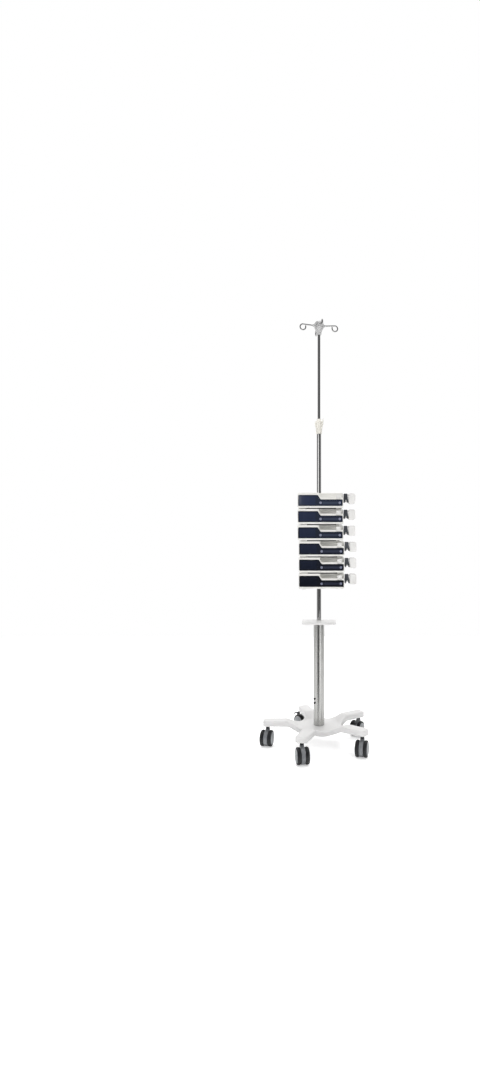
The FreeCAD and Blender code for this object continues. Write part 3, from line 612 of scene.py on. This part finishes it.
def tyre_tree():
    """Tree that rolls a flat grid into a tyre, and adds the tyre of the other wheel."""
    tree, size = start_tree("tyre", TYRE)
    sheet = {"Size X": 1.0, "Size Y": 1.0}
    sheet.update({"Vertices X": WHEEL_STEPS + 1, "Vertices Y": SECTION_STEPS + 1})
    grid = add(tree, "GeometryNodeMeshGrid", sheet)
    at = add(tree, "ShaderNodeSeparateXYZ", {0: add(tree, "GeometryNodeInputPosition")}).outputs
    turn = add(tree, "ShaderNodeMath", {0: at[0], 1: FULL_TURN}, operation="MULTIPLY")
    lap = add(tree, "ShaderNodeMath", {0: at[1], 1: FULL_TURN}, operation="MULTIPLY")
    power = add(tree, "ShaderNodeMath", {0: 2.0, 1: size["Fullness"]}, operation="DIVIDE")
    along = bulge(tree, add(tree, "ShaderNodeMath", {0: lap}, operation="COSINE"), power)
    out = bulge(tree, add(tree, "ShaderNodeMath", {0: lap}, operation="SINE"), power)
    middle, half = halfway(tree, size["Inner face"], size["Outer face"])
    mean, depth = halfway(tree, size["Bore radius"], size["Wheel radius"])
    y = add(tree, "ShaderNodeMath", {0: along, 1: half, 2: middle}, operation="MULTIPLY_ADD")
    radius = add(tree, "ShaderNodeMath", {0: out, 1: depth, 2: mean}, operation="MULTIPLY_ADD")
    cosine = add(tree, "ShaderNodeMath", {0: turn}, operation="COSINE")
    sine = add(tree, "ShaderNodeMath", {0: turn}, operation="SINE")
    x = add(tree, "ShaderNodeMath", {0: radius, 1: cosine}, operation="MULTIPLY")
    z = add(tree, "ShaderNodeMath", {0: radius, 1: sine}, operation="MULTIPLY")
    place = add(tree, "ShaderNodeCombineXYZ", {0: x, 1: y, 2: z})
    one = add(tree, "GeometryNodeSetPosition", {0: grid, "Position": place})
    joined = add(tree, "GeometryNodeMergeByDistance", {0: one, "Distance": SEAM_GAP})
    other = add(tree, "GeometryNodeTransform", {0: joined, "Rotation": (0, 0, math.pi)})
    pair = add(tree, "GeometryNodeJoinGeometry", {0: joined})
    tree.links.new(other.outputs[0], pair.inputs[0])
    end_tree(tree, pair, TYRE_PU)
    return tree


joints = {joint["name"]: joint for joint in frame["joints"]}
tyre_pair = grow(tyre_tree(), bpy.data.meshes.new("empty"), TYRE)


def wheel_place(number):
    """Matrix from a wheel's own axes, with the axle along Y, to its place on the stand."""
    axle = joints[f"caster_{number}_roll"]
    across = Vector(axle["axis"])
    turn = Matrix.Rotation(math.atan2(-across.x, across.y), 4, "Z")
    return Matrix.Translation(axle["pos_m"]) @ turn


for number in CASTERS:
    mesh = tyre_pair.copy()
    mesh.transform(wheel_place(number))
    tyres = keep(f"tyre_pair_{number}", mesh, TYRE_PU, f"caster_{number}_wheels")
    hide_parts(f"caster_{number}_tyres")
print("grew five pairs of tyres of", len(tyre_pair.polygons), "faces")

# %% [markdown]
# A wheel disc is moulded with a raised bead round its rim. The bead is a paler, polished ring and
# shows as a bright circle between the disc and the black tyre.

# %% Rim beads
BEAD = [(28.2, 26.6), (28.1, 28.0), (27.3, 28.7), (25.9, 28.95), (24.9, 28.6), (24.7, 27.2)]
RIM_PP = moulded("polished_grey_polypropylene", "a9abae", "c2c4c6", 0.16, 0.24, 1.4, 0.04)

for number in CASTERS:
    shape = bmesh.new()
    for side in (-1, 1):
        shape.from_mesh(lathe(BEAD, (0, 0, 0), (0, side, 0), count=64))
    mesh = closed(shape)
    mesh.transform(wheel_place(number))
    keep(f"rim_beads_{number}", mesh, RIM_PP, f"caster_{number}_wheels")
print("ten rim beads")

# %% [markdown]
# A dark sleeve covers the neck of each caster between its hood and the arm. Black strips in the
# middle of the gaps between stacked cases are painted shade, where shadow falls between the
# cases. Both read as thin black lines in the photograph.

# %% Neck sleeves and painted gap shade
SLEEVE = [(7.7, 0.4), (7.7, 13.6), (8.7, 13.6), (9.0, 13.0), (9.0, 1.4), (8.7, 0.4)]
HOOD_TOP_MM = 78.0
# Outline and depth of a black strip of painted shade in the gap under a case.
GAP_SHADE_OUTLINE = [(43, -3.9, 0.6), (174, -3.9, 0.6), (174, -0.1, 0.6), (43, -0.1, 0.6)]
GAP_SHADE_BACK, GAP_SHADE_FRONT = -104.0, -113.6
GAP_SHADE_EDGE = 0.3

for number in CASTERS:
    pivot = Vector(joints[f"caster_{number}_turn"]["pos_m"])
    sleeve = lathe(SLEEVE, (pivot.x, pivot.y, HOOD_TOP_MM * MM), (0, 0, 1))
    keep(f"neck_sleeve_{number}", sleeve, PEDAL_NYLON, f"caster_{number}_swivel")
# Painted shade: black strips in the gaps between the cases, where shadow falls.
gap_shade_strip = plate(GAP_SHADE_OUTLINE, TOP_CORNER, GAP_SHADE_BACK, GAP_SHADE_FRONT, GAP_SHADE_EDGE)
stacked("stack_gap_shade", gap_shade_strip, PAD_RUBBER, pumps=5)
print("five sleeves and five seals")

# %% [markdown]
# Behind the pumps, each pole clamp is screwed to its case through the foot, and its knob carries a
# small metal cap over the end of the screw.

# %% Clamp screws and knob caps
SCREW_HEAD = [
    (0, 1.6),
    (2.0, 1.6),
    (2.1, 3.3),
    (3.4, 3.2),
    (4.3, 2.4),
    (4.5, 0),
    (4.5, -0.6),
    (0, -0.6),
]
CAP = [(0, -0.6), (6.2, -0.6), (6.4, 0.1), (5.6, 0.8), (0, 1.2)]
FOOT = {"Screws": 2, "Spread": 0.036}
FOOT_X, FOOT_BACK = 0.044, 0.046


def screw_tree():
    """Tree that repeats a screw head up the foot of a clamp."""
    tree, size = start_tree("clamp_screws", FOOT)
    step = add(tree, "ShaderNodeCombineXYZ", {2: size["Spread"]})
    line = add(tree, "GeometryNodeMeshLine", {"Count": size["Screws"], "Offset": step})
    copies = {0: line, "Instance": size["Geometry"]}
    end_tree(tree, add(tree, "GeometryNodeInstanceOnPoints", copies), BLACK_OXIDE)
    return tree


screws = screw_tree()
for place in ("upper", "lower"):
    low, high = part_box(f"{place}_clamp_body")
    first = Vector((FOOT_X, FOOT_BACK, (low.z + high.z) / 2 - FOOT["Spread"] / 2))
    mesh = grow(screws, lathe(SCREW_HEAD, first, (0, 1, 0)), FOOT)
    keep(f"{place}_clamp_screws", mesh, BLACK_OXIDE, "stand")
    knob_low, knob_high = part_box(f"{place}_clamp_knob")
    face = (knob_high.x, (knob_low.y + knob_high.y) / 2, (knob_low.z + knob_high.z) / 2)
    cap = lathe(CAP, face, (1, 0, 0))
    keep(f"{place}_knob_cap", cap, BLASTED, f"{place}_knob")
print("clamp screws and knob caps")

# %% [markdown]
# The studio is a white floor in a surround that the camera sees as plain white. The floor glows a
# little for the camera alone, so that it comes out as white as the ground of a product picture.
# Polished tubes only show what is around them, so everything but the camera sees upright bands
# instead: dark behind the camera and bright behind the stand. They give the poles their dark core
# and bright edges.

# %% Floor and surround
FLOOR_HALF = 3.0
FLOOR_TOP = -0.0005
FLOOR_GLOW = 0.4
QUARTERS = ((-1, -1), (1, -1), (1, 1), (-1, 1))
BAND_STOPS = (
    (0.0, 0.06),
    (0.05, 0.1),
    (0.09, 0.3),
    (0.13, 0.34),
    (0.17, 0.2),
    (0.25, 0.4),
    (0.34, 1.1),
    (0.66, 1.1),
    (0.76, 0.24),
    (0.86, 0.18),
    (0.92, 0.16),
    (0.98, 0.06),
)

floor_mesh = bpy.data.meshes.new("floor")
floor_corners = [(x * FLOOR_HALF, y * FLOOR_HALF, FLOOR_TOP) for x, y in QUARTERS]
floor_mesh.from_pydata(floor_corners, [], [(0, 1, 2, 3)])
floor = bpy.data.objects.new("floor", floor_mesh)
bpy.context.scene.collection.objects.link(floor)
floor_paint, paint, shader, _ = finish("studio_floor", "ffffff", 0.9)
eye = add(paint, "ShaderNodeLightPath").outputs["Is Camera Ray"]
glow = add(paint, "ShaderNodeMath", {0: eye, 1: FLOOR_GLOW}, operation="MULTIPLY")
shader.inputs["Emission Color"].default_value = linear("ffffff")
wire(paint, shader, {"Emission Strength": glow})
floor_mesh.materials.append(floor_paint)

world = bpy.data.worlds.new("studio")
bpy.context.scene.world = world
world.use_nodes = True
sky = world.node_tree
around = add(sky, "ShaderNodeTexCoord").outputs["Generated"]
axes = add(sky, "ShaderNodeSeparateXYZ", {0: around}).outputs
heading = add(sky, "ShaderNodeMath", {0: axes[0], 1: axes[1]}, operation="ARCTAN2")
share = add(sky, "ShaderNodeMapRange", {0: heading, 1: -math.pi, 2: math.pi})
bands = add(sky, "ShaderNodeValToRGB", {0: share})
set_stops(bands, [(position, (value, value, value, 1)) for position, value in BAND_STOPS])
eye = add(sky, "ShaderNodeLightPath").outputs["Is Camera Ray"]
seen = add(sky, "ShaderNodeMix", {0: eye, 6: bands, 7: (1, 1, 1, 1)}, data_type="RGBA")
sky.links.new(seen.outputs[2], sky.nodes["Background"].inputs["Color"])
sky.nodes["Background"].inputs["Strength"].default_value = 1.0
print("floor and surround")

# %% [markdown]
# Four large area lights stand round the stand, in front and above it. Large lights give soft
# shadows, as in a product picture. They are hidden from reflections, so that the tubes and the
# gloss panels show the bands and the cards alone.

# %% Soft lights
LIGHTS = {
    "key": {"place": (1.6, -2.6, 2.8), "target": (0, 0, 1.0), "size": (0.8, 2.2), "power": 44},
    "fill": {"place": (-2.6, -1.6, 1.8), "target": (0, 0, 0.9), "size": (1.2, 2.4), "power": 32},
    "front": {"place": (0.4, -3.2, 0.9), "target": (0, 0, 0.95), "size": (1.4, 1.0), "power": 17},
    "top": {"place": (0, 0.4, 4.2), "target": (0, 0, 0), "size": (2.5, 2.5), "power": 60},
}

for name, lamp in LIGHTS.items():
    data = bpy.data.lights.new(name, "AREA")
    data.shape = "RECTANGLE"
    data.size, data.size_y = lamp["size"]
    data.energy = lamp["power"]
    light = bpy.data.objects.new(name, data)
    light.location = lamp["place"]
    aim = Vector(lamp["target"]) - Vector(lamp["place"])
    light.rotation_euler = aim.to_track_quat("-Z", "Y").to_euler()
    light.visible_glossy = False
    bpy.context.scene.collection.objects.link(light)
print(len(LIGHTS), "lights")

# %% [markdown]
# Product photographers stand cards by polished tubes, which put dark and bright bands into them.
# Three upright cards do that here, a dark one and two bright ones, close in front of the stand.
# Only reflections see them, so they neither show in the picture nor cast light or shadow.

# %% Reflection cards
CARD_AWAY = 0.7
CARDS = {
    "dark_card": {"sides": (-0.46, 0.1), "ends": (0.0, 0.7), "value": 0.13},
    "bright_card": {"sides": (0.24, 0.6), "ends": (0.0, 0.5), "value": 1.6},
    "high_card": {"sides": (-0.6, -0.1), "ends": (1.15, 1.6), "value": 2.2},
}

for name, card in CARDS.items():
    (left, right), (bottom, top), value = card["sides"], card["ends"], card["value"]
    corners = ((left, bottom), (right, bottom), (right, top), (left, top))
    mesh = bpy.data.meshes.new(name)
    mesh.from_pydata([(x, -CARD_AWAY, z) for x, z in corners], [], [(0, 1, 2, 3)])
    material, _, shader, _ = finish(name, "000000", 1.0)
    shader.inputs["Specular IOR Level"].default_value = 0.0
    shader.inputs["Emission Color"].default_value = (value, value, value, 1)
    shader.inputs["Emission Strength"].default_value = 1.0
    mesh.materials.append(material)
    made = bpy.data.objects.new(name, mesh)
    made.visible_camera = made.visible_diffuse = made.visible_shadow = False
    bpy.context.scene.collection.objects.link(made)
print(len(CARDS), "cards")
